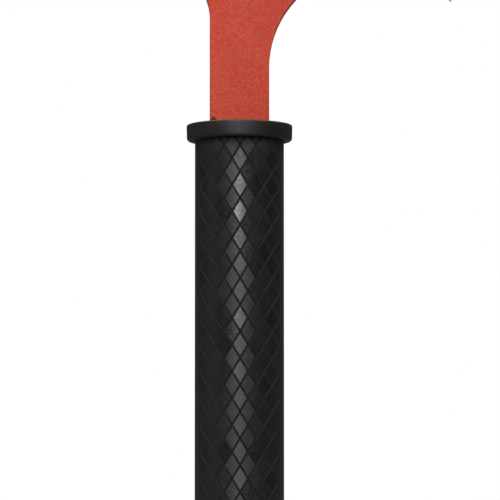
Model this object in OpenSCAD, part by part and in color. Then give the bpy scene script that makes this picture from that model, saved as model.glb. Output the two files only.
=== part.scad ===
// One-handed crash axe: a flat steel head and tang in an insulated, rubber-sleeved round grip.
// The handle's axis is Z, the blade points to +X, and z = 0 is the flat end of the butt.
// Heights "above the guard" are measured from the guard's top face.

/* [Steel plate] */
// Thickness of the plate that the head, neck and tang are cut from
plate_t = 6.4; // [5:0.2:8]
// Width of the neck
neck_w = 25.4; // [22:0.2:31]
// Step in from the neck's side to the tang's side
tang_shoulder = 1.7; // [1:0.1:3]
// Height of the head's flat top above the guard
crown_h = 116; // [108:1:140]

/* [Blade] */
// Height above the guard where the curve under the blade leaves the neck
hook_start = 24.9; // [18:0.1:30]
// Radius of the curve under the blade, on the neck's side
hook_r = 42.8; // [35:0.1:46]
// Height above the guard of the blade's heel
heel_h = 53; // [40:0.1:58]
// Distance from the handle's axis to the cutting edge
blade_reach = 95.9; // [88:0.1:116]
// Height above the guard of the cutting edge's furthest point
edge_mid_h = 97.7; // [90:0.1:110]
// Radius of the cutting edge
edge_r = 190; // [150:1:300]
// Width of the ground bevel
grind_w = 13; // [8:0.5:18]
// Thickness left at the cutting edge
edge_t = 0.6; // [0.3:0.1:1.5]
// Radius of the hollow along the top of the blade
blade_top_r = 120; // [100:1:200]
// Distance from the handle's axis to the lowest point of that hollow
blade_top_x = 18; // [10:1:30]

/* [Pick] */
// Height above the guard where the curve under the pick leaves the neck
pick_start = 45.5; // [38:0.1:50]
// Radius of the curve between the neck and the pick
pick_root_r = 24.5; // [20:0.1:28]
// Radius of the pick's underside
pick_under_r = 260; // [200:1:400]
// Radius of the pick's top edge
pick_top_r = 260; // [200:1:400]
// Distance from the handle's axis to where the pick's top edge begins
pick_top_x = 16; // [10:1:24]
// Distance from the handle's axis to the pick's tip
pick_reach = 108; // [90:1:125]
// Length of the ground point
point_l = 30; // [15:1:40]
// Thickness left at the pick's tip
point_t = 1.2; // [0.6:0.1:2]

/* [Grip] */
// Length from the butt's flat end to the guard's top face
grip_length = 225; // [180:1:280]
// Outer diameter of the rubber sleeve
grip_d = 38; // [32:0.5:46]
// Wall of the rubber sleeve
rubber_wall = 3; // [2.4:0.1:4]
// Wall of the insulating liner
liner_wall = 1; // [0.6:0.1:1.5]

/* [Guard] */
// How far the guard stands out past the sleeve
guard_lip = 3.6; // [2:0.1:8]
// Thickness of the guard
guard_h = 7; // [5.5:0.1:10]
// Depth of the recess that the sleeve's end seats in
guard_recess = 3; // [2:0.1:3.5]
// Step in from the sleeve's side to its end inside that recess
sleeve_step = 1.2; // [0.8:0.1:1.6]
// Rounding of the guard's top edge
guard_top_round = 1.4; // [0.5:0.1:2]
// Rounding of the guard's bottom edge
guard_foot_round = 0.7; // [0.3:0.1:1]
// Gap around the neck in the guard's slot
slot_gap = 0.3; // [0.1:0.1:0.6]
// Width of the seal around the neck
seal_w = 1.6; // [1:0.1:2.5]
// Depth of the seal below the guard's top face
seal_depth = 1.5; // [1:0.1:2]

/* [Butt cap] */
// Height of the cap's visible disc
cap_h = 5; // [4:0.5:10]
// Rounding of the cap's bottom edge
cap_foot_round = 2; // [1:0.1:2.8]
// Rounding of the cap's top edge, where it meets the sleeve
cap_seam_round = 0.5; // [0.2:0.1:1]
// Height of the spigot inside the sleeve
spigot_h = 8; // [5:0.5:15]

/* [Tang and rivets] */
// Insulating core left below the end of the tang
tang_cover = 8; // [4:0.5:15]
// Number of rivets
rivet_count = 3; // [2:1:5]
// Diameter of the rivets
rivet_d = 4.8; // [4:0.2:6]
// Radial gap around each rivet
rivet_gap = 0.1; // [0.05:0.05:0.3]
// Distance from each end of the tang to its nearest rivet
rivet_margin = 28; // [15:1:40]
// Diameter of the rivet heads and of the burrs
rivet_head_d = 9; // [7.5:0.5:11]
// Thickness of the rivet heads
rivet_head_h = 1.4; // [1:0.1:1.6]
// Depth of the rivets' seats below the core's surface
rivet_sink = 3; // [2.8:0.1:4]
// Thickness of the burr under each set end
burr_h = 0.7; // [0.5:0.1:0.8]
// Diameter of the set ends
set_end_d = 7.4; // [6.4:0.2:9]
// Gap around the heads in their seats
seat_gap = 0.4; // [0.2:0.1:1]

/* [Hidden] */
$fn = 128;
// How far a cutting shape reaches past the face that it cuts
cut = 1;
// Longer than anything in the model, for clipping shapes
far = 400;

grip_r = grip_d / 2;
liner_r = grip_r - rubber_wall;
core_r = liner_r - liner_wall;
guard_z = grip_length;
guard_foot_z = guard_z - guard_h;
guard_recess_r = grip_r - sleeve_step;
core_top_z = guard_foot_z + guard_recess;
core_foot_z = cap_h + spigot_h;
tang_foot_z = core_foot_z + tang_cover;
tang_w = neck_w - 2 * tang_shoulder;
rivet_seat_y = core_r - rivet_sink;
rivet_step = (core_top_z - tang_foot_z - 2 * rivet_margin) / (rivet_count - 1);
rivet_heights = [
    for (i = [0 : rivet_count - 1]) tang_foot_z + rivet_margin + i * rivet_step
];

// Height of the upper side of a circle at a given x
function over(c, r, x) = c[1] + sqrt(r * r - pow(x - c[0], 2));

// Position of the right side of a circle at a given height
function beside(c, r, z) = c[0] + sqrt(r * r - pow(z - c[1], 2));

// Radius of the circle that has its top at one point and passes through another
function radius_from_top(top, p) = (p - top) * (p - top) / (2 * (top[1] - p[1]));

// Centre of the circle of radius r through p and q, to the right of the way from p to q
function centre_through(p, q, r) =
    let (d = q - p, chord = norm(d), right = [d[1], -d[0]] / chord)
    (p + q) / 2 + right * sqrt(r * r - chord * chord / 4);

// Centres of the head's curves, and the ends of its edges, as [x, z]
crown_z = guard_z + crown_h;
hook_c = [neck_w / 2 + hook_r, guard_z + hook_start];
hook_top = hook_c + [0, hook_r];
edge_c = [blade_reach - edge_r, guard_z + edge_mid_h];
heel = [beside(edge_c, edge_r, guard_z + heel_h), guard_z + heel_h];
heel_r = radius_from_top(hook_top, heel);
heel_c = hook_top - [0, heel_r];
blade_top_c = [blade_top_x, crown_z + blade_top_r];
pick_root_c = [-neck_w / 2 - pick_root_r, guard_z + pick_start];
pick_under_c = pick_root_c + [0, pick_root_r - pick_under_r];
pick_tip = [-pick_reach, over(pick_under_c, pick_under_r, -pick_reach)];
pick_top_c = centre_through(pick_tip, [-pick_top_x, crown_z], pick_top_r);

// A rectangle between two corners
module rectangle(low, high) {
    translate(low)
        square(high - low);
}

// Stands an outline drawn in [x, z] up in the plate's plane, with its thickness across Y
module upright(thickness) {
    rotate([90, 0, 0])
        linear_extrude(height = thickness, center = true)
            children();
}

// A cone or cylinder along Y, centred on [x, z], between two values of y
module across(p, from_y, to_y, r1, r2) {
    translate([p[0], from_y, p[1]])
        rotate([-90, 0, 0])
            cylinder(h = to_y - from_y, r1 = r1, r2 = r2);
}

// A disc turned about Z from z = 0 up, with rounded top and bottom edges
module turned_disc(r, h, top_round, foot_round) {
    rotate_extrude() {
        rectangle([0, 0], [r - foot_round, foot_round]);
        rectangle([0, foot_round], [r, h - top_round]);
        rectangle([0, h - top_round], [r - top_round, h]);
        translate([r - foot_round, foot_round])
            circle(foot_round);
        translate([r - top_round, h - top_round])
            circle(top_round);
    }
}

// A tube about Z between two heights
module tube(outer_r, inner_r, from_z, to_z) {
    difference() {
        translate([0, 0, from_z])
            cylinder(h = to_z - from_z, r = outer_r);
        translate([0, 0, from_z - cut])
            cylinder(h = to_z - from_z + 2 * cut, r = inner_r);
    }
}

// A block with the neck's section, grown by a margin, between two heights
module neck_block(margin, from_z, to_z) {
    size = [neck_w, plate_t] + [2, 2] * margin;
    translate([-size[0] / 2, -size[1] / 2, from_z])
        cube([size[0], size[1], to_z - from_z]);
}

// The blade's half of the head, from the handle's axis to the cutting edge
module blade_outline() {
    difference() {
        intersection() {
            rectangle([0, hook_c[1]], [far, blade_top_c[1]]);
            translate(edge_c)
                circle(edge_r);
        }
        translate(hook_c)
            circle(hook_r);
        intersection() {
            translate(heel_c)
                circle(heel_r);
            rectangle([hook_c[0], 0], [far, 2 * far]);
        }
        translate(blade_top_c)
            circle(blade_top_r);
        rectangle([-cut, crown_z], [blade_top_x, 2 * far]);
    }
}

// The pick's half of the head, from the handle's axis to the tip
module pick_outline() {
    difference() {
        intersection() {
            rectangle([-far, pick_root_c[1]], [0, crown_z]);
            translate(pick_top_c)
                circle(pick_top_r);
        }
        translate(pick_root_c)
            circle(pick_root_r);
        intersection() {
            translate(pick_under_c)
                circle(pick_under_r);
            rectangle([-far, 0], [pick_root_c[0], 2 * far]);
        }
    }
}

// What grinding takes off both sides of the cutting edge
module edge_grind() {
    grind_slope = 2 * grind_w / (plate_t - edge_t);
    side_y = plate_t / 2 + cut;
    side_r = edge_r - grind_w - grind_slope * cut;
    difference() {
        translate([hook_c[0], -side_y, 0])
            cube([far, 2 * side_y, 2 * far]);
        across(edge_c, -side_y - cut, -side_y, side_r - grind_slope * cut, side_r);
        across(edge_c, -side_y, -edge_t / 2, side_r, edge_r);
        across(edge_c, -edge_t / 2, edge_t / 2, edge_r + cut, edge_r + cut);
        across(edge_c, edge_t / 2, side_y, edge_r, side_r);
        across(edge_c, side_y, side_y + cut, side_r, side_r - grind_slope * cut);
    }
}

// What grinding takes off both sides of the pick's point
module point_grind() {
    slope = (plate_t - point_t) / 2 / point_l;
    root_x = point_l - pick_reach + cut;
    tip_x = -pick_reach - cut;
    for (side = [0, 1])
        mirror([0, side, 0])
            linear_extrude(height = 2 * far)
                polygon([
                    [root_x, plate_t / 2 + slope * cut],
                    [tip_x, point_t / 2 - slope * cut],
                    [tip_x, plate_t / 2 + 2 * cut],
                    [root_x, plate_t / 2 + 2 * cut]
                ]);
}

// The rivets' holes, through everything that they pass
module rivet_holes() {
    r = rivet_d / 2 + rivet_gap;
    for (z = rivet_heights)
        across([0, z], -grip_r, grip_r, r, r);
}

// One half of the core: side is -1 for the front and 1 for the back
module core_half(side) {
    seat_r = rivet_head_d / 2 + seat_gap;
    difference() {
        intersection() {
            translate([0, 0, core_foot_z])
                cylinder(h = core_top_z - core_foot_z, r = core_r);
            translate([-far / 2, side < 0 ? -far : 0, 0])
                cube([far, far, far]);
        }
        translate([-tang_w / 2, -plate_t / 2, tang_foot_z])
            cube([tang_w, plate_t, far]);
        rivet_holes();
        for (z = rivet_heights)
            if (side < 0)
                across([0, z], -grip_r, -rivet_seat_y, seat_r, seat_r);
            else
                across([0, z], rivet_seat_y, grip_r, seat_r, seat_r);
    }
}

module axe_plate() {
    color([0.75, 0.29, 0.24])
        difference() {
            upright(plate_t) {
                blade_outline();
                pick_outline();
                rectangle([-neck_w / 2, core_top_z], [neck_w / 2, crown_z]);
                rectangle([-tang_w / 2, tang_foot_z], [tang_w / 2, core_top_z + cut]);
            }
            edge_grind();
            point_grind();
            rivet_holes();
        }
}

module front_scale() {
    color([0.55, 0.4, 0.25])
        core_half(-1);
}

module back_scale() {
    color([0.5, 0.36, 0.22])
        core_half(1);
}

module tang_rivets() {
    shank_r = rivet_d / 2;
    head_r = rivet_head_d / 2;
    set_r = set_end_d / 2;
    set_y = rivet_seat_y + burr_h;
    color([0.7, 0.7, 0.72])
        for (z = rivet_heights) {
            across([0, z], -rivet_seat_y - rivet_head_h, -rivet_seat_y, head_r, head_r);
            across([0, z], -rivet_seat_y - rivet_head_h / 2, set_y + rivet_head_h / 2, shank_r, shank_r);
            across([0, z], set_y, set_y + rivet_head_h, set_r, set_r);
        }
}

module rivet_burrs() {
    color([0.6, 0.6, 0.62])
        difference() {
            for (z = rivet_heights)
                across([0, z], rivet_seat_y, rivet_seat_y + burr_h, rivet_head_d / 2, rivet_head_d / 2);
            rivet_holes();
        }
}

module insulating_liner() {
    color([0.85, 0.8, 0.65])
        tube(liner_r, core_r, core_foot_z, core_top_z);
}

module grip_sleeve() {
    color([0.13, 0.13, 0.13])
        union() {
            tube(grip_r, liner_r, cap_h, guard_foot_z);
            tube(guard_recess_r, liner_r, guard_foot_z - cut, core_top_z);
        }
}

module guard_collar() {
    color([0.17, 0.16, 0.15])
        difference() {
            translate([0, 0, guard_foot_z])
                turned_disc(grip_r + guard_lip, guard_h, guard_top_round, guard_foot_round);
            translate([0, 0, guard_foot_z - cut])
                cylinder(h = guard_recess + cut, r = guard_recess_r);
            neck_block(slot_gap, guard_foot_z, guard_z + cut);
            neck_block(seal_w, guard_z - seal_depth, guard_z + cut);
        }
}

module neck_seal() {
    color([0.1, 0.08, 0.08])
        difference() {
            neck_block(seal_w, guard_z - seal_depth, guard_z);
            neck_block(0, guard_z - seal_depth - cut, guard_z + cut);
        }
}

module butt_cap() {
    color([0.15, 0.15, 0.15]) {
        turned_disc(grip_r, cap_h, cap_seam_round, cap_foot_round);
        translate([0, 0, cap_h - cut])
            cylinder(h = spigot_h + cut, r = liner_r);
    }
}

axe_plate();
front_scale();
back_scale();
tang_rivets();
rivet_burrs();
insulating_liner();
grip_sleeve();
guard_collar();
neck_seal();
butt_cap();
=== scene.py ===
import math
import random

import bmesh
import bpy
from bpy.props import FloatProperty, FloatVectorProperty, IntProperty, PointerProperty
from bpy.types import Operator, Panel, PropertyGroup
from mathutils import Matrix, Vector


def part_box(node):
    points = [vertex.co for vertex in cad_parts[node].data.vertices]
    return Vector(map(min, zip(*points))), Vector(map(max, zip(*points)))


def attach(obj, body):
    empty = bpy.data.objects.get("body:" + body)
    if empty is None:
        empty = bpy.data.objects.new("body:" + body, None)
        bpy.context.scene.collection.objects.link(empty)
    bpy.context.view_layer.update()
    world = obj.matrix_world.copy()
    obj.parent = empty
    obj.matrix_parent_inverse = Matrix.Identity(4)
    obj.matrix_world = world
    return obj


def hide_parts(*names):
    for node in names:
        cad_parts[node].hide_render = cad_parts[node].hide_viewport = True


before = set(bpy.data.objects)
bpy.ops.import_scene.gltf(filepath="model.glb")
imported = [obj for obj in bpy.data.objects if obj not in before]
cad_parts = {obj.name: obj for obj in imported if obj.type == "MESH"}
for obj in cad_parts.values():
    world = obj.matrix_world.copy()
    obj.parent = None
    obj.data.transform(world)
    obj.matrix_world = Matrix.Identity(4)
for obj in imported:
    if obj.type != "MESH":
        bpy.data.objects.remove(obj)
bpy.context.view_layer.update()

bl_info = {
    "name": "Crash axe",
    "version": (1, 0, 0),
    "blender": (4, 5, 0),
    "location": "View3D > Sidebar > Crash axe",
    "description": "Builds a crash axe's painted head, diamond-grooved grip, guard and butt cap",
    "category": "Add Mesh",
}

MM = 0.001
ROOT = "root"
ORIGIN = Vector((0, 0, 0))
ACROSS = Vector((1, 0, 0))
THROUGH = Vector((0, 1, 0))
UP = Vector((0, 0, 1))

# Places closer than NEAR count as level, points closer than WELD are joined, and cuts are THIN
NEAR = 0.01 * MM
WELD = 0.002 * MM
THIN = 0.001 * MM

# The places that the frame gives
SLEEVE_LOW, SLEEVE_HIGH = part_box("grip_sleeve")
GUARD_LOW, GUARD_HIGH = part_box("guard_collar")
PLATE_LOW, PLATE_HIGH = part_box("axe_plate")
_, LINER_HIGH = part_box("insulating_liner")
SEAL_LOW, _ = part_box("neck_seal")
# The sealant's width beside the neck
SEAL_WALL = 1.6 * MM
NECK_LEFT = SEAL_LOW.x + SEAL_WALL


class GripSettings(PropertyGroup):
    """Sizes of the rubber sleeve's moulded pattern."""

    pitch_x: FloatProperty(
        name="Diamond half width",
        description="Half the width of a diamond, measured flat across the grip",
        default=3.39 * MM, min=2 * MM, max=6 * MM, subtype="DISTANCE", precision=5,
    )
    pitch_z: FloatProperty(
        name="Diamond half height",
        description="Half the height of a diamond",
        default=5.64 * MM, min=3 * MM, max=10 * MM, subtype="DISTANCE", precision=5,
    )
    columns: IntProperty(
        name="Columns each side",
        description="Diamond half widths from the middle of the pattern to its smooth side band",
        default=5, min=2, max=5,
    )
    first_pad: FloatProperty(
        name="First diamond below the guard's top",
        description="From the guard's top face down to the middle of the first whole diamond",
        default=16.1 * MM, min=0, max=30 * MM, subtype="DISTANCE", precision=5,
    )
    groove_width: FloatProperty(
        name="Groove width",
        description="Width of a groove at the surface",
        default=0.95 * MM, min=0.4 * MM, max=2 * MM, subtype="DISTANCE", precision=5,
    )
    groove_depth: FloatProperty(
        name="Groove depth",
        description="Depth of a groove in its middle",
        default=0.7 * MM, min=0.1 * MM, max=1.5 * MM, subtype="DISTANCE", precision=5,
    )
    plain_foot: FloatProperty(
        name="Plain foot",
        description="Height of the smooth band above the butt cap",
        default=8 * MM, min=0, max=30 * MM, subtype="DISTANCE", precision=5,
    )
    pad_tilt: FloatProperty(
        name="Pad unevenness",
        description="How far the corner of a pad may stand out of true",
        default=0.06 * MM, min=0, max=0.2 * MM, subtype="DISTANCE", precision=6,
    )
    seam_height: FloatProperty(
        name="Mould seam",
        description="Height of the seam that the two halves of the mould leave",
        default=0.05 * MM, min=0, max=0.06 * MM, subtype="DISTANCE", precision=5,
    )
    turn: FloatProperty(
        name="Sleeve turn",
        description="How far the sleeve is turned from square with the plate",
        default=math.radians(1.0), min=-0.3, max=0.3, subtype="ANGLE",
    )
    flat: FloatProperty(
        name="Flat of a pad",
        description="Half the angle that the flat of a pad takes of the grip's round",
        default=math.radians(10.3), min=0, max=0.3, subtype="ANGLE",
    )
    flatness: FloatProperty(
        name="Flatness of a pad",
        description="0 for pads that follow the grip's round and 1 for flat ones",
        default=0.5, min=0, max=1,
    )
    polish: FloatProperty(
        name="Polish of a pad",
        description="How much less rough the most worn pad is than the least worn one",
        default=0.16, min=0, max=0.3,
    )
    seed: IntProperty(
        name="Wear seed", description="Chooses which pads are worn and tilted", default=6548, min=0,
    )
    rubber: FloatVectorProperty(
        name="Rubber", description="Colour of the rubber",
        default=(0.005, 0.0042, 0.004), min=0, max=1, subtype="COLOR",
    )


class SteelSettings(PropertyGroup):
    """Sizes and colours of the steel plate's finish."""

    edge_centre: FloatVectorProperty(
        name="Cutting edge's middle", description="Centre of the circle that the cutting edge follows",
        default=(-94.1 * MM, 0, 322.7 * MM), subtype="TRANSLATION",
    )
    edge_radius: FloatProperty(
        name="Cutting edge's radius", description="Radius of the circle that the cutting edge follows",
        default=190 * MM, min=0.05, max=0.5, subtype="DISTANCE",
    )
    edge_ground: FloatProperty(
        name="Ground edge", description="Width of the bare steel along the cutting edge",
        default=13.3 * MM, min=0, max=0.05, subtype="DISTANCE", precision=5,
    )
    point_ground: FloatProperty(
        name="Ground point", description="Length of the bare steel at the pick's point",
        default=30.2 * MM, min=0, max=0.1, subtype="DISTANCE", precision=5,
    )
    edge_round: FloatProperty(
        name="Edge rounding",
        description="Rounding of the plate's long edges",
        default=0.4 * MM, min=0.1 * MM, max=1.5 * MM, subtype="DISTANCE", precision=5,
    )
    paint: FloatVectorProperty(
        name="Paint", description="Colour of the powder coat",
        default=(0.463, 0.0435, 0.0203), min=0, max=1, subtype="COLOR",
    )
    steel: FloatVectorProperty(
        name="Ground steel", description="Colour of the bare steel",
        default=(0.4, 0.4, 0.41), min=0, max=1, subtype="COLOR",
    )


class StageSettings(PropertyGroup):
    """The camera, lights and floor."""

    distance: FloatProperty(
        name="Camera distance", description="From the camera to the middle of its view",
        default=1.8, min=0.5, max=5, subtype="DISTANCE",
    )
    elevation: FloatProperty(
        name="Camera elevation", description="How far the camera stands above the middle of its view",
        default=math.radians(-4.85), min=-0.5, max=1.5, subtype="ANGLE",
    )
    view_width: FloatProperty(
        name="View width", description="Width that the camera sees at the handle's axis",
        default=213.1 * MM, min=0.05, max=2, subtype="DISTANCE", precision=4,
    )
    aside: FloatProperty(
        name="View offset", description="From the handle's axis to the middle of the view",
        default=4.5 * MM, min=-0.1, max=0.1, subtype="DISTANCE", precision=5,
    )
    below_guard: FloatProperty(
        name="View drop", description="From the guard's top face down to the middle of the view",
        default=53.5 * MM, min=-0.2, max=0.3, subtype="DISTANCE", precision=5,
    )
    overhead: FloatProperty(
        name="Overhead", description="Strength of the soft light from straight above",
        default=3.1, min=0, max=10,
    )
    surround: FloatProperty(
        name="Surround", description="Brightness of the room around the object",
        default=0.08, min=0, max=2,
    )


class AxeSettings(PropertyGroup):
    """All of the add-on's settings."""

    grip: PointerProperty(type=GripSettings)
    steel: PointerProperty(type=SteelSettings)
    stage: PointerProperty(type=StageSettings)


# ---------------------------------------------------------------- materials

# No hand rubs the rubber close under the guard: how far down, and how much duller it is at the top
SHELTERED = 5 * MM
SHELTERED_DULLNESS = 0.3


def new_material(name):
    """A material with its shader, and a function that adds a node joined to others by socket."""
    mat = bpy.data.materials.new(name)
    mat.use_nodes = True
    tree = mat.node_tree
    shader = tree.nodes["Principled BSDF"]

    def add(kind, joins=None, **values):
        node = tree.nodes.new(kind)
        for key, value in values.items():
            if key in node.inputs:
                node.inputs[key].default_value = value
            else:
                setattr(node, key, value)
        for key, source in (joins or {}).items():
            tree.links.new(source, node.inputs[key])
        return node

    def join(source, socket):
        tree.links.new(source, shader.inputs[socket])

    return mat, shader, add, join


def noise(add, place, scale, detail=2.0, roughness=0.5):
    """A noise pattern's height, from 0 to 1, at so many features a metre."""
    node = add("ShaderNodeTexNoise", {"Vector": place}, Scale=scale, Detail=detail, Roughness=roughness)
    return node.outputs["Fac"]


def stretched(add, place, scale, turn=(0, 0, 0)):
    """The object's coordinates stretched and turned."""
    return add("ShaderNodeMapping", {"Vector": place}, Scale=scale, Rotation=turn).outputs["Vector"]


def spread(add, source, low, high, from_low=0.3, from_high=0.7):
    """A value moved from one range to another."""
    node = add("ShaderNodeMapRange", {"Value": source})
    for key, value in (("From Min", from_low), ("From Max", from_high), ("To Min", low), ("To Max", high)):
        node.inputs[key].default_value = value
    return node.outputs["Result"]


def tint(add, source, colours):
    """A colour ramp through (position, colour) stops."""
    node = add("ShaderNodeValToRGB", {"Fac": source})
    ramp = node.color_ramp
    while len(ramp.elements) < len(colours):
        ramp.elements.new(0.5)
    for element, (position, colour) in zip(ramp.elements, colours):
        element.position = position
        element.color = (*colour, 1)
    return node.outputs["Color"]


def bump(add, height, distance, strength=1.0, under=None):
    """A bump from a height, over another bump if one is given."""
    joins = {"Height": height}
    if under:
        joins["Normal"] = under
    return add("ShaderNodeBump", joins, Strength=strength, Distance=distance).outputs["Normal"]


def shade(colour, factor):
    """A colour made lighter or darker."""
    return tuple(min(1.0, c * factor) for c in colour)


def sums(add, kind, first, second):
    """One sum on two values, each a socket or a number."""
    joins = {}
    numbers = {}
    for slot, value in enumerate((first, second)):
        if isinstance(value, (int, float)):
            numbers[slot] = value
        else:
            joins[slot] = value
    node = add("ShaderNodeMath", joins, operation=kind)
    for slot, value in numbers.items():
        node.inputs[slot].default_value = value
    return node.outputs["Value"]


def mix_colours(add, share, first, second):
    """One colour laid over another by a share."""
    node = add("ShaderNodeMix", data_type="RGBA")
    tree = node.id_data
    tree.links.new(share, node.inputs["Factor"])
    tree.links.new(first, node.inputs["A"])
    tree.links.new(second, node.inputs["B"])
    return node.outputs["Result"]


def bare_zone(add, place, steel):
    """1 where the steel is ground bare and 0 where it is painted, with a slightly ragged border."""
    ragged = spread(add, noise(add, place, scale=420, detail=3), low=-0.4 * MM, high=0.4 * MM)
    off = add("ShaderNodeVectorMath", {0: place}, operation="SUBTRACT")
    off.inputs[1].default_value = steel.edge_centre
    flat = add("ShaderNodeVectorMath", {0: off.outputs["Vector"]}, operation="MULTIPLY")
    flat.inputs[1].default_value = (1, 0, 1)
    reach = add("ShaderNodeVectorMath", {0: flat.outputs["Vector"]}, operation="LENGTH").outputs["Value"]
    along = add("ShaderNodeSeparateXYZ", {"Vector": place}).outputs["X"]
    paint_ends = steel.edge_radius - steel.edge_ground
    on_edge = sums(add, "GREATER_THAN", sums(add, "ADD", reach, ragged), paint_ends)
    paint_starts = PLATE_LOW.x + steel.point_ground
    on_point = sums(add, "LESS_THAN", sums(add, "ADD", along, ragged), paint_starts)
    return sums(add, "MAXIMUM", on_edge, on_point)


def painted_steel(steel):
    """Red powder coat, a fine and slightly mottled orange peel, ground off at the edge and the point."""
    mat, shader, add, join = new_material("painted_steel")
    place = add("ShaderNodeTexCoord").outputs["Object"]
    bare = bare_zone(add, place, steel)

    # Paint: mottled, with small paler specks
    fine = noise(add, place, scale=1150, detail=4, roughness=0.65)
    mottle = tint(add, fine, [
        (0.3, (0.433, 0.0255, 0.008)), (0.48, steel.paint),
        (0.64, (0.502, 0.065, 0.037)), (0.76, (0.564, 0.14, 0.11)),
    ])
    # Steel: fine lines across the ground faces
    lines = noise(add, stretched(add, place, (60, 60, 2600)), scale=1.0, detail=3, roughness=0.6)
    metal = tint(add, lines, [(0.3, shade(steel.steel, 0.72)), (0.7, shade(steel.steel, 1.1))])
    join(mix_colours(add, bare, mottle, metal), "Base Color")
    join(bare, "Metallic")
    dull = spread(add, noise(add, place, scale=480), low=0.46, high=0.62)
    bright = spread(add, lines, low=0.46, high=0.62)
    of_paint = sums(add, "MULTIPLY", dull, sums(add, "SUBTRACT", 1, bare))
    join(sums(add, "ADD", of_paint, sums(add, "MULTIPLY", bright, bare)), "Roughness")
    peel = bump(add, noise(add, place, scale=520, detail=1), distance=0.09 * MM, strength=0.7)
    grain = bump(add, fine, distance=0.03 * MM, strength=0.6, under=peel)
    ground = sums(add, "MULTIPLY", lines, bare)
    join(bump(add, ground, distance=0.02 * MM, strength=0.7, under=grain), "Normal")
    shader.inputs["Specular IOR Level"].default_value = 0.15
    return mat


def rubber(name, colour, roughness=0.42, shine=0.5, pads=False):
    """Moulded black rubber with a dull, finely grained skin, and pads that use has polished."""
    mat, shader, add, join = new_material(name)
    place = add("ShaderNodeTexCoord").outputs["Object"]
    grain = noise(add, place, scale=1500, detail=3, roughness=0.6)
    cloud = noise(add, place, scale=90, detail=3, roughness=0.6)
    join(tint(add, cloud, [(0.3, shade(colour, 0.8)), (0.7, shade(colour, 1.35))]), "Base Color")
    dull = spread(add, cloud, low=roughness - 0.03, high=roughness + 0.05)
    if pads:
        worn = add("ShaderNodeAttribute", attribute_name="polish").outputs["Fac"]
        dull = sums(add, "SUBTRACT", dull, worn)
        height = add("ShaderNodeSeparateXYZ", {"Vector": place}).outputs["Z"]
        sheltered = spread(
            add, height, low=0, high=SHELTERED_DULLNESS,
            from_low=GUARD_LOW.z - SHELTERED, from_high=GUARD_LOW.z,
        )
        dull = sums(add, "ADD", dull, sheltered)
    patches = noise(add, place, scale=800, detail=3, roughness=0.6)
    speckle = spread(add, patches, low=-0.085, high=0.085)
    join(sums(add, "ADD", dull, speckle), "Roughness")
    swell = noise(add, place, scale=300, detail=3, roughness=0.55)
    waves = bump(add, swell, distance=0.06 * MM, strength=0.7)
    join(bump(add, grain, distance=0.02 * MM, strength=0.5, under=waves), "Normal")
    shader.inputs["Specular IOR Level"].default_value = shine
    return mat


def laminate():
    """Brown phenolic laminate with the layers of its cloth."""
    mat, shader, add, join = new_material("scale_laminate")
    place = add("ShaderNodeTexCoord").outputs["Object"]
    layers = noise(add, stretched(add, place, (40, 2200, 40)), scale=1.0, detail=2)
    join(tint(add, layers, [(0.35, (0.13, 0.06, 0.025)), (0.65, (0.28, 0.15, 0.07))]), "Base Color")
    join(bump(add, layers, distance=0.03 * MM, strength=0.5), "Normal")
    shader.inputs["Roughness"].default_value = 0.55
    return mat


def rivet_steel():
    """Drawn rivet steel, turned bright on the heads."""
    mat, shader, add, join = new_material("rivet_steel")
    place = add("ShaderNodeTexCoord").outputs["Object"]
    lines = noise(add, stretched(add, place, (1500, 90, 1500)), scale=1.0, detail=2)
    join(tint(add, lines, [(0.3, (0.42, 0.42, 0.43)), (0.7, (0.6, 0.6, 0.61))]), "Base Color")
    join(spread(add, lines, low=0.25, high=0.4), "Roughness")
    shader.inputs["Metallic"].default_value = 1.0
    return mat


def liner_sheet():
    """Amber insulating sheet, rolled into a tube."""
    mat, shader, add, join = new_material("liner_sheet")
    place = add("ShaderNodeTexCoord").outputs["Object"]
    wraps = noise(add, stretched(add, place, (60, 60, 700)), scale=1.0, detail=2)
    join(tint(add, wraps, [(0.3, (0.5, 0.36, 0.14)), (0.7, (0.66, 0.52, 0.26))]), "Base Color")
    join(bump(add, wraps, distance=0.02 * MM, strength=0.4), "Normal")
    shader.inputs["Roughness"].default_value = 0.25
    return mat


def floor_paper():
    """Seamless white paper."""
    mat, shader, add, join = new_material("floor_paper")
    place = add("ShaderNodeTexCoord").outputs["Object"]
    cloud = noise(add, place, scale=3)
    pale = tint(add, cloud, [(0.3, (0.84, 0.84, 0.84)), (0.7, (0.86, 0.86, 0.86))])
    # Its light on the object is held back, as by black card around the shot
    held = tint(add, cloud, [(0.3, (0.11, 0.11, 0.11)), (0.7, (0.12, 0.12, 0.12))])
    join(mix_colours(add, add("ShaderNodeLightPath").outputs["Is Camera Ray"], held, pale), "Base Color")
    shader.inputs["Roughness"].default_value = 0.9
    return mat


# ---------------------------------------------------------------- mesh tools

# Edges are shaded sharp from this angle
SHARP_FROM = math.radians(26)
# Faces that meet at less than this are joined
FLAT_WITHIN = math.radians(0.4)


def make_piece(name, bm, materials, replaced):
    """Turns a bmesh into a finished piece that rides on the frame and replaces its plain node."""
    for edge in bm.edges:
        edge.smooth = len(edge.link_faces) == 2 and edge.calc_face_angle(0) < SHARP_FROM
    for face in bm.faces:
        face.smooth = True
    mesh = bpy.data.meshes.new(name)
    bm.to_mesh(mesh)
    bm.free()
    piece = bpy.data.objects.new(name, mesh)
    bpy.context.scene.collection.objects.link(piece)
    for mat in materials:
        mesh.materials.append(mat)
    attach(piece, ROOT)
    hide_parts(replaced)
    return piece


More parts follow.
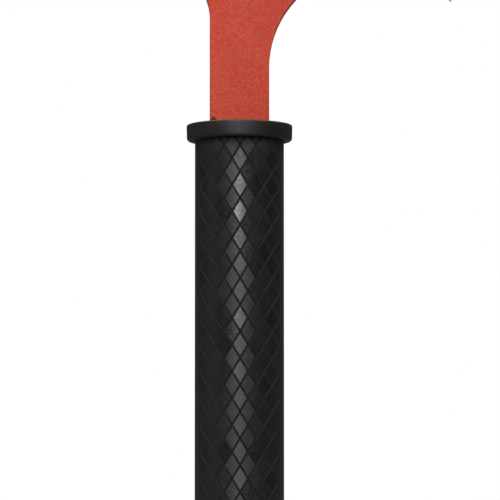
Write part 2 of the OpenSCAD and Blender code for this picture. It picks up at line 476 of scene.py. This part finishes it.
def merged_copy(node):
    """A bmesh of a CAD node's surface, with its loose triangles joined and its flat faces made whole."""
    bm = bmesh.new()
    bm.from_mesh(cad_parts[node].data)
    bmesh.ops.remove_doubles(bm, verts=bm.verts, dist=WELD)
    bmesh.ops.dissolve_degenerate(bm, edges=bm.edges, dist=THIN)
    bmesh.ops.dissolve_limit(bm, angle_limit=FLAT_WITHIN, verts=bm.verts, edges=bm.edges)
    return bm


def everything(bm):
    """All of a bmesh's geometry, as its operators take it."""
    return bm.verts[:] + bm.edges[:] + bm.faces[:]


def cut_plane(bm, point, normal, clear_outer=False):
    """Cuts edges into a bmesh along a plane, and can throw away what lies beyond it."""
    bmesh.ops.bisect_plane(
        bm, geom=everything(bm), dist=THIN, plane_co=point, plane_no=normal,
        clear_outer=clear_outer, clear_inner=False,
    )


def rim(bm, height):
    """The open edges at a height."""
    return [
        e for e in bm.edges
        if e.is_boundary and all(abs(v.co.z - height) < NEAR for v in e.verts)
    ]


def pull_rim(bm, edges, radius, height):
    """Extrudes an open round rim to another radius and height, and returns the new rim."""
    made = bmesh.ops.extrude_edge_only(bm, edges=edges)["geom"]
    for vert in (g for g in made if isinstance(g, bmesh.types.BMVert)):
        flat = Vector((vert.co.x, vert.co.y, 0)).normalized() * radius
        vert.co = (flat.x, flat.y, height)
    return [g for g in made if isinstance(g, bmesh.types.BMEdge)]


# ---------------------------------------------------------------- the plate

# An edge is rounded only where it turns more than this, and lies on one of the plate's two faces
CORNER_FROM = math.radians(60)
FACE_SHARE = 0.45


def off_the_faces(point):
    """Is a point on a ground bevel, inside the plate's thickness, where a rounding would not fit?"""
    return abs(point.y) < FACE_SHARE * (PLATE_HIGH.y - PLATE_LOW.y)


class CRASH_AXE_OT_plate(Operator):
    """Adds the steel plate with rounded edges, red paint and bare ground bevels."""

    bl_idname = "crash_axe.plate"
    bl_label = "Axe plate"

    def execute(self, context):
        steel = context.scene.crash_axe.steel
        bm = merged_copy("axe_plate")
        long_edges = [
            e for e in bm.edges
            if len(e.link_faces) == 2
            and e.calc_face_angle(0) > CORNER_FROM
            and not any(off_the_faces(v.co) for v in e.verts)
            and all(v.co.z > GUARD_LOW.z for v in e.verts)
        ]
        bmesh.ops.bevel(
            bm, geom=long_edges, offset=steel.edge_round, offset_type="OFFSET", segments=3,
            profile=0.5, affect="EDGES", clamp_overlap=True, material=-1,
        )
        make_piece("painted_plate", bm, [painted_steel(steel)], "axe_plate")
        return {"FINISHED"}


# ---------------------------------------------------------------- the sleeve

# A groove's section: distance from its middle in half widths, and depth as a share of the whole
GROOVE_SECTION = ((0.0, 1.0), (0.5, 0.8), (0.95, 0.0))
# A groove's depth in the middle of the front, and how much of that it loses towards the side bands
FRONT_DEPTH = 1.15
SIDE_LOSS = 0.85
# The polish of grooves, of pads close under the guard and of the least worn pad
GROOVE_POLISH = -0.5
SHELTERED_POLISH = -0.14
LEAST_POLISH = -0.03
# Pads are flattened fully in front, less from there on, and not at all beyond FLAT_REACH x FLAT_FADE
FLAT_REACH = 1.6
FLAT_FADE = math.radians(25)
# The tilt is given to what lies further than this from a groove's middle, in half widths
TILT_FROM = 0.9
# Flats and tilts fade in over this height above the plain foot
FOOT_FADE = 3 * MM
# A pad's middle counts as no further round the grip than this share of its radius
MOST_ASIDE = 0.95
# Where the flat pattern stands before it is wrapped, and how many strips it is made of
FLAT_Y = -1
FLAT_STRIPS = 30
# The steps round each side band, and the gap that may be left where it meets the pattern
BAND_STEPS = 10
BAND_WELD = 0.004 * MM
# Half the width of a mould seam, and the depth of the step that seats in the guard
SEAM_SIDE = 0.3 * MM
SEAT_DEPTH = 1.2 * MM


class DiamondPattern:
    """The lattice of grooves, as straight lines in the front view."""

    def __init__(self, grip):
        self.radius = SLEEVE_HIGH.x
        self.face_radius = self.radius - grip.pad_tilt
        self.half_x = grip.pitch_x
        self.half_z = grip.pitch_z
        self.edge_x = grip.pitch_x * grip.columns
        self.middle_z = GUARD_HIGH.z - grip.first_pad
        self.half_width = grip.groove_width / 2
        self.depth = grip.groove_depth
        self.foot_z = SLEEVE_LOW.z + grip.plain_foot
        self.square = self.half_x * self.half_z / math.hypot(self.half_x, self.half_z)
        self.groove_ends = GROOVE_SECTION[-1][0]
        self.seed = grip.seed
        self.draws = {}

    def lattice(self, x, z):
        """Where a point is on the two families of lines, in pads."""
        across = x / self.half_x
        along = (z - self.middle_z) / self.half_z
        return across + along, across - along

    def pad(self, x, z):
        """The pad that a point is in."""
        return tuple(math.floor((value + 1) / 2) for value in self.lattice(x, z))

    def pad_middle(self, pad):
        """The middle of a pad, as x and z."""
        return (
            (pad[0] + pad[1]) * self.half_x,
            (pad[0] - pad[1]) * self.half_z + self.middle_z,
        )

    def draw(self, point):
        """The random numbers of the pad at a point: two from -1 to 1 for its tilt, and its wear to 1."""
        key = (self.seed, round(math.copysign(1, point.y)), *self.pad(point.x, point.z))
        if key not in self.draws:
            source = random.Random(" ".join(map(str, key)))
            self.draws[key] = (source.uniform(-1, 1), source.uniform(-1, 1), source.random())
        return self.draws[key]

    def distance(self, x, z):
        """The distance from the nearest groove's middle, in half widths."""
        nearest = min(abs(value % 2 - 1) for value in self.lattice(x, z))
        return nearest * self.square / self.half_width

    def cut(self, x, z):
        """The depth of the groove at a point: none at the side bands and below the pattern's foot."""
        apart = self.distance(x, z)
        share = 0.0
        for (near, deep), (far, shallow) in zip(GROOVE_SECTION, GROOVE_SECTION[1:]):
            if near <= apart <= far:
                share = deep + (shallow - deep) * (apart - near) / (far - near)
        side = min(1.0, (self.edge_x - abs(x)) / self.half_width)
        foot = min(1.0, max(0.0, (z - self.foot_z) / self.half_width))
        return self.depth * share * side * foot


def pattern_tile(pattern):
    """One row of the pattern's front, flat, with an edge along every groove's middle and sides."""
    bm = bmesh.new()
    size = Matrix.Diagonal((pattern.edge_x, pattern.half_z, 1, 1))
    stand = Matrix.Rotation(math.radians(90), 4, "X")
    place = Matrix.Translation((0, FLAT_Y, pattern.middle_z))
    bmesh.ops.create_grid(
        bm, x_segments=FLAT_STRIPS, y_segments=1, size=1, matrix=place @ stand @ size,
    )
    reach = round(pattern.edge_x / pattern.half_x) + 1
    for lean in (1, -1):
        normal = Vector((pattern.half_z, 0, lean * pattern.half_x)).normalized()
        for line in range(1 - reach - reach % 2, reach + 1, 2):
            middle = Vector((line * pattern.half_x, FLAT_Y, pattern.middle_z))
            for apart, _ in GROOVE_SECTION:
                for side in (1, -1) if apart else (1,):
                    cut_plane(bm, middle + normal * (side * apart * pattern.half_width), normal)
    return bm


def pattern_front(pattern):
    """The pattern's front, flat, from the sleeve's foot to the guard."""
    bm = pattern_tile(pattern)
    row = everything(bm)
    step = 2 * pattern.half_z
    up = math.ceil((GUARD_LOW.z - pattern.middle_z) / step) + 1
    down = math.ceil((pattern.middle_z - SLEEVE_LOW.z) / step) + 1
    for number in (n for n in range(-down, up + 1) if n):
        made = bmesh.ops.duplicate(bm, geom=row)["geom"]
        verts = [g for g in made if isinstance(g, bmesh.types.BMVert)]
        bmesh.ops.translate(bm, verts=verts, vec=(0, 0, number * step))
    bmesh.ops.remove_doubles(bm, verts=bm.verts, dist=WELD)
    cut_plane(bm, UP * GUARD_LOW.z, UP, clear_outer=True)
    cut_plane(bm, UP * SLEEVE_LOW.z, -UP, clear_outer=True)
    for side in (-1, 1):
        cut_plane(bm, ACROSS * (side * (pattern.edge_x - pattern.half_width)), ACROSS)
    cut_plane(bm, UP * pattern.foot_z, UP)
    cut_plane(bm, UP * (pattern.foot_z + pattern.half_width), UP)
    return bm


def store_polish(bm, pattern, most):
    """Stores each flat face's polish: grooves stay dull, and use polishes every pad in its own way."""
    polish = bm.faces.layers.float.new("polish")
    for face in bm.faces:
        middle = face.calc_center_median()
        if middle.z < pattern.foot_z:
            continue
        pad_x, pad_z = pattern.pad_middle(pattern.pad(middle.x, middle.z))
        if pattern.distance(middle.x, middle.z) < pattern.groove_ends:
            face[polish] = GROOVE_POLISH
        elif pad_z > GUARD_LOW.z - SHELTERED:
            face[polish] = SHELTERED_POLISH
        elif abs(pad_x) < pattern.edge_x - pattern.half_x / 2:
            face[polish] = most * pattern.draw(middle)[2] ** 2 + LEAST_POLISH


def lay_pad(pattern, grip, point, turn, out):
    """Where a point above the plain foot lies, as its pad is a little flat and has its own tilt."""
    x, z = point.x, point.z
    rise = min(1.0, (z - pattern.foot_z) / FOOT_FADE)
    middle_x, middle_z = pattern.pad_middle(pattern.pad(x, z))
    middle_turn = math.asin(max(-MOST_ASIDE, min(MOST_ASIDE, middle_x / pattern.radius)))
    facing = min(1.0, max(0.0, FLAT_REACH - abs(middle_turn) / FLAT_FADE))
    chord = pattern.face_radius * math.cos(grip.flat) / math.cos(turn - middle_turn)
    out -= grip.flatness * facing * rise * max(0.0, pattern.face_radius - chord)
    if pattern.distance(x, z) > TILT_FROM:
        inward = max(0.0, min(1.0, (pattern.edge_x - abs(x)) / pattern.half_x))
        tilt = grip.pad_tilt * rise * inward
        lean_x, lean_z, _ = pattern.draw(point)
        out += tilt * lean_x * (x - middle_x) / pattern.half_x
        out += tilt * lean_z * (z - middle_z) / pattern.half_z
    return out


def wrap(bm, pattern, grip):
    """Wraps the flat front and back round the handle, with their grooves and pads."""
    for vert in bm.verts:
        x, side, z = vert.co.x, math.copysign(1, vert.co.y), vert.co.z
        turn = math.asin(x / pattern.radius)
        deep = FRONT_DEPTH - SIDE_LOSS * abs(x) / pattern.edge_x
        out = pattern.face_radius - pattern.cut(x, z) * deep
        if z > pattern.foot_z:
            out = lay_pad(pattern, grip, vert.co, turn, out)
        vert.co = (out * math.sin(turn), side * out * math.cos(turn), z)


def close_sides(bm, pattern):
    """Joins the front to the back with smooth side bands."""
    band = math.pi - 2 * math.asin(pattern.edge_x / pattern.radius)
    for side in (1, -1):
        edges = [
            e for e in bm.edges
            if e.is_boundary
            and all(v.co.x * side > 0 and v.co.y * side < 0 for v in e.verts)
            and abs(e.verts[0].co.z - e.verts[1].co.z) > WELD
        ]
        verts = list(dict.fromkeys(v for e in edges for v in e.verts))
        bmesh.ops.spin(
            bm, geom=edges + verts, cent=ORIGIN, axis=UP, angle=band, steps=BAND_STEPS,
            use_merge=False, use_normal_flip=False, use_duplicate=False,
        )
    bmesh.ops.remove_doubles(bm, verts=bm.verts, dist=BAND_WELD)
    polish = bm.faces.layers.float["polish"]
    for face in bm.faces:
        if abs(face.calc_center_median().x) > pattern.edge_x:
            face[polish] = 0.0


def raise_seams(bm, height):
    """Raises the seams that the two halves of the mould leave in the side bands."""
    for offset in (-SEAM_SIDE, 0, SEAM_SIDE):
        cut_plane(bm, THROUGH * offset, THROUGH)
    for vert in bm.verts:
        if abs(vert.co.y) < NEAR:
            vert.co.x += math.copysign(height, vert.co.x)


def close_ends(bm, radius):
    """Carries both ends in to the bore, with the step that seats in the guard."""
    bore = LINER_HIGH.x
    seat = radius - SEAT_DEPTH
    top = pull_rim(bm, rim(bm, GUARD_LOW.z), seat, GUARD_LOW.z)
    top = pull_rim(bm, top, seat, SLEEVE_HIGH.z)
    top = pull_rim(bm, top, bore, SLEEVE_HIGH.z)
    foot = pull_rim(bm, rim(bm, SLEEVE_LOW.z), bore, SLEEVE_LOW.z)
    bmesh.ops.bridge_loops(bm, edges=top + foot)


class CRASH_AXE_OT_sleeve(Operator):
    """Adds the rubber sleeve with its diamond grooves, smooth side bands and mould seams."""

    bl_idname = "crash_axe.sleeve"
    bl_label = "Grip sleeve"

    def execute(self, context):
        grip = context.scene.crash_axe.grip
        pattern = DiamondPattern(grip)
        bm = pattern_front(pattern)
        made = bmesh.ops.duplicate(bm, geom=everything(bm))["geom"]
        back = [g for g in made if isinstance(g, bmesh.types.BMVert)]
        bmesh.ops.rotate(bm, verts=back, cent=ORIGIN, matrix=Matrix.Rotation(math.pi, 3, "Z"))
        store_polish(bm, pattern, grip.polish)
        wrap(bm, pattern, grip)
        close_sides(bm, pattern)
        raise_seams(bm, grip.seam_height)
        close_ends(bm, pattern.radius)
        bmesh.ops.recalc_face_normals(bm, faces=bm.faces)
        bmesh.ops.rotate(bm, verts=bm.verts, cent=ORIGIN, matrix=Matrix.Rotation(grip.turn, 3, "Z"))
        skin = rubber("sleeve_rubber", grip.rubber, pads=True)
        make_piece("rubber_sleeve", bm, [skin], "grip_sleeve")
        return {"FINISHED"}


# ---------------------------------------------------------------- guard, seal and cap

# The guard's corners: the radius that the frame gives, and the moulded one
TOP_CORNER = (1.4 * MM, 0.85 * MM)
FOOT_CORNER = (0.7 * MM, 1.25 * MM)
# How far the guard's lower half is drawn in at its foot, and how wide its rim is
DRAFT = 0.2 * MM
RIM_WIDTH = 3 * MM
# Painted light: the guard takes the sleeve's rubber made browner and a little paler, so that the warm
# light on its left side shows brighter
GUARD_LIT_TINT = (2.0, 1.7, 1.5)
# The rounding of the sealant's upper edges
SEAL_ROUND = 0.35 * MM
# A small dark red spot at the front of the neck's left foot, just above the guard
DARK_SPOT_SIZE = (1.4 * MM, 0.35 * MM, 2.5 * MM)
DARK_SPOT_ASIDE = 1.7 * MM
DARK_SPOT_PROUD = 0.2 * MM
DARK_SPOT_RISE = 0.9 * MM
DARK_SPOT_COLOUR = (0.12, 0.013, 0.007)


def round_over(vert, outer, height, side, old, new):
    """Moves a point on a disc's rounded corner to where a corner of another radius has it."""
    radius = math.hypot(vert.co.x, vert.co.y)
    across = radius - (outer - old)
    along = (vert.co.z - height) * side + old
    if min(across, along) < -WELD:
        return
    corner = math.atan2(max(0.0, along), max(0.0, across))
    share = (outer - new + new * math.cos(corner)) / radius
    vert.co.x *= share
    vert.co.y *= share
    vert.co.z = height + side * new * (math.sin(corner) - 1)


class CRASH_AXE_OT_guard(Operator):
    """Adds the guard and the seal around the neck."""

    bl_idname = "crash_axe.guard"
    bl_label = "Guard and seal"

    def execute(self, context):
        grip = context.scene.crash_axe.grip
        bm = merged_copy("guard_collar")
        outer = GUARD_HIGH.x
        for vert in bm.verts:
            round_over(vert, outer, GUARD_HIGH.z, 1, *TOP_CORNER)
            round_over(vert, outer, GUARD_LOW.z, -1, *FOOT_CORNER)
            if math.hypot(vert.co.x, vert.co.y) > outer - RIM_WIDTH:
                down = (GUARD_HIGH.z - vert.co.z) / (GUARD_HIGH.z - GUARD_LOW.z)
                factor = 1 - DRAFT / outer * max(0.0, down * 2 - 1)
                vert.co.x *= factor
                vert.co.y *= factor
        # The sleeve's rubber, paler and browner: painted light standing in for the warm light on the
        # guard's left
        lit_rubber = tuple(c * more for c, more in zip(grip.rubber, GUARD_LIT_TINT))
        skin = rubber("guard_rubber", lit_rubber, roughness=0.55, shine=0.34)
        make_piece("rubber_guard", bm, [skin], "guard_collar")

        bm = merged_copy("neck_seal")
        edges = [e for e in bm.edges if all(v.co.z > GUARD_HIGH.z - NEAR for v in e.verts)]
        bmesh.ops.bevel(
            bm, geom=edges, offset=SEAL_ROUND, offset_type="OFFSET", segments=2, profile=0.5,
            affect="EDGES", clamp_overlap=True, material=-1,
        )
        # The dark red spot at the neck's left foot, added to the seal's piece with a second material
        place = Matrix.Translation((
            NECK_LEFT + DARK_SPOT_ASIDE, PLATE_LOW.y - DARK_SPOT_PROUD, GUARD_HIGH.z + DARK_SPOT_RISE,
        ))
        dark_spot = bmesh.ops.create_uvsphere(
            bm, u_segments=24, v_segments=16, radius=1, matrix=place @ Matrix.Diagonal((*DARK_SPOT_SIZE, 1)),
        )
        for face in {f for v in dark_spot["verts"] for f in v.link_faces}:
            face.material_index = 1
        sealant = rubber("seal_rubber", grip.rubber, roughness=0.75, shine=0.2)
        dark_spot_skin = rubber("dark_red_spot", DARK_SPOT_COLOUR, roughness=0.75, shine=0.1)
        make_piece("neck_sealant", bm, [sealant, dark_spot_skin], "neck_seal")
        return {"FINISHED"}


class CRASH_AXE_OT_cap(Operator):
    """Adds the butt cap."""

    bl_idname = "crash_axe.cap"
    bl_label = "Butt cap"

    def execute(self, context):
        grip = context.scene.crash_axe.grip
        bm = merged_copy("butt_cap")
        skin = rubber("cap_rubber", grip.rubber, roughness=0.5)
        make_piece("rubber_cap", bm, [skin], "butt_cap")
        return {"FINISHED"}


class CRASH_AXE_OT_core(Operator):
    """Gives the hidden pieces inside the grip their materials."""

    bl_idname = "crash_axe.core"
    bl_label = "Core finishes"

    def execute(self, context):
        finishes = (
            (laminate(), ("front_scale", "back_scale")),
            (rivet_steel(), ("tang_rivets", "rivet_burrs")),
            (liner_sheet(), ("insulating_liner",)),
        )
        for finish, nodes in finishes:
            for name in nodes:
                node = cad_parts[name]
                node.data.materials.clear()
                node.data.materials.append(finish)
        return {"FINISHED"}


# ---------------------------------------------------------------- the stage

COOL = (0.91, 0.965, 1.0)
WARM = (1.0, 0.88, 0.74)
WHITE = (1, 1, 1)
# Softboxes: name, azimuth, elevation and distance, size, power and tint
SOFTBOXES = (
    ("key", (-2, 26, 1.7), (0.2, 1.2), 29.5, COOL),
    ("left", (-75, 15, 1.6), (1.0, 1.2), 1.2, WARM),
    ("back_left", (-150, 52, 1.8), (0.8, 0.8), 11, WHITE),
    ("back_right", (140, 52, 1.8), (0.8, 0.8), 11, WHITE),
)
OVERHEAD_ANGLE = math.radians(50)
OVERHEAD_HEIGHT = 3
FLOOR_REACH = 40
CLIP_NEAR = 0.05
CLIP_FAR = 200


def area_light(name, place, target, size, power, colour):
    """A rectangular softbox turned to a target."""
    data = bpy.data.lights.new(name, "AREA")
    data.shape = "RECTANGLE"
    data.size, data.size_y = size
    data.energy = power
    data.color = colour
    light = bpy.data.objects.new(name, data)
    bpy.context.scene.collection.objects.link(light)
    light.location = place
    light.rotation_euler = (target - place).to_track_quat("-Z", "Y").to_euler()


def polar(middle, azimuth, elevation, distance):
    """A point round a middle: azimuth 0 is on the camera's side, and 90 on the blade's."""
    a, e = math.radians(azimuth), math.radians(elevation)
    way = Vector((math.sin(a) * math.cos(e), -math.cos(a) * math.cos(e), math.sin(e)))
    return middle + way * distance


def add_floor():
    """Adds the paper floor."""
    bm = bmesh.new()
    bmesh.ops.create_grid(bm, x_segments=8, y_segments=8, size=FLOOR_REACH)
    mesh = bpy.data.meshes.new("floor")
    bm.to_mesh(mesh)
    bm.free()
    floor = bpy.data.objects.new("floor", mesh)
    bpy.context.scene.collection.objects.link(floor)
    mesh.materials.append(floor_paper())


def add_room(scene, surround):
    """Adds a dim room, whose walls are white paper to the camera."""
    world = bpy.data.worlds.new("studio")
    world.use_nodes = True
    scene.world = world
    nodes, links = world.node_tree.nodes, world.node_tree.links
    room = nodes["Background"]
    room.inputs["Color"].default_value = (*WHITE, 1)
    room.inputs["Strength"].default_value = surround
    paper = nodes.new("ShaderNodeBackground")
    paper.inputs["Color"].default_value = (*WHITE, 1)
    mix = nodes.new("ShaderNodeMixShader")
    links.new(nodes.new("ShaderNodeLightPath").outputs["Is Camera Ray"], mix.inputs["Fac"])
    links.new(room.outputs["Background"], mix.inputs[1])
    links.new(paper.outputs["Background"], mix.inputs[2])
    links.new(mix.outputs["Shader"], nodes["World Output"].inputs["Surface"])


def add_lights(scene, middle, overhead_power):
    """Adds the softboxes and the soft light from straight above."""
    for name, place, size, power, colour in SOFTBOXES:
        area_light(name, polar(middle, *place), middle, size, power, colour)
    sky = bpy.data.lights.new("overhead", "SUN")
    sky.energy = overhead_power
    sky.angle = OVERHEAD_ANGLE
    overhead = bpy.data.objects.new("overhead", sky)
    scene.collection.objects.link(overhead)
    overhead.location = (0, 0, OVERHEAD_HEIGHT)


def add_camera(scene, aim, stage):
    """Adds the camera, turned to the middle of its view."""
    camera_data = bpy.data.cameras.new("camera")
    camera = bpy.data.objects.new("camera", camera_data)
    scene.collection.objects.link(camera)
    camera.location = polar(aim, 0, math.degrees(stage.elevation), stage.distance)
    camera.rotation_euler = (aim - camera.location).to_track_quat("-Z", "Y").to_euler()
    camera_data.lens = camera_data.sensor_width * stage.distance / stage.view_width
    camera_data.clip_start = CLIP_NEAR
    camera_data.clip_end = CLIP_FAR
    scene.camera = camera


class CRASH_AXE_OT_stage(Operator):
    """Adds the floor, the lights and the camera."""

    bl_idname = "crash_axe.stage"
    bl_label = "Stage"

    def execute(self, context):
        scene = context.scene
        stage = scene.crash_axe.stage
        middle = UP * (GUARD_HIGH.z - stage.below_guard)
        add_floor()
        add_room(scene, stage.surround)
        scene.view_settings.view_transform = "Standard"
        add_lights(scene, middle, stage.overhead)
        add_camera(scene, middle + ACROSS * stage.aside, stage)
        return {"FINISHED"}


# ---------------------------------------------------------------- the add-on

OPERATORS = (
    CRASH_AXE_OT_plate,
    CRASH_AXE_OT_sleeve,
    CRASH_AXE_OT_guard,
    CRASH_AXE_OT_cap,
    CRASH_AXE_OT_core,
    CRASH_AXE_OT_stage,
)


class VIEW3D_PT_crash_axe(Panel):
    """Lists the pieces and their settings."""

    bl_label = "Crash axe"
    bl_space_type = "VIEW_3D"
    bl_region_type = "UI"
    bl_category = "Crash axe"

    def draw(self, context):
        for operator in OPERATORS:
            self.layout.operator(operator.bl_idname)
        settings = context.scene.crash_axe
        for group in (settings.grip, settings.steel, settings.stage):
            box = self.layout.box()
            for name in group.bl_rna.properties.keys():
                if name not in {"rna_type", "name"}:
                    box.prop(group, name)


CLASSES = (GripSettings, SteelSettings, StageSettings, AxeSettings, *OPERATORS, VIEW3D_PT_crash_axe)


def register():
    """Adds the classes and their settings to Blender."""
    for cls in CLASSES:
        bpy.utils.register_class(cls)
    bpy.types.Scene.crash_axe = PointerProperty(type=AxeSettings)


def unregister():
    """Takes the settings and the classes out again."""
    del bpy.types.Scene.crash_axe
    for cls in reversed(CLASSES):
        bpy.utils.unregister_class(cls)


def main():
    """Builds the axe and its stage."""
    register()
    bpy.ops.crash_axe.plate()
    bpy.ops.crash_axe.sleeve()
    bpy.ops.crash_axe.guard()
    bpy.ops.crash_axe.cap()
    bpy.ops.crash_axe.core()
    bpy.ops.crash_axe.stage()
    bpy.context.view_layer.update()


if __name__ == "__main__":
    main()
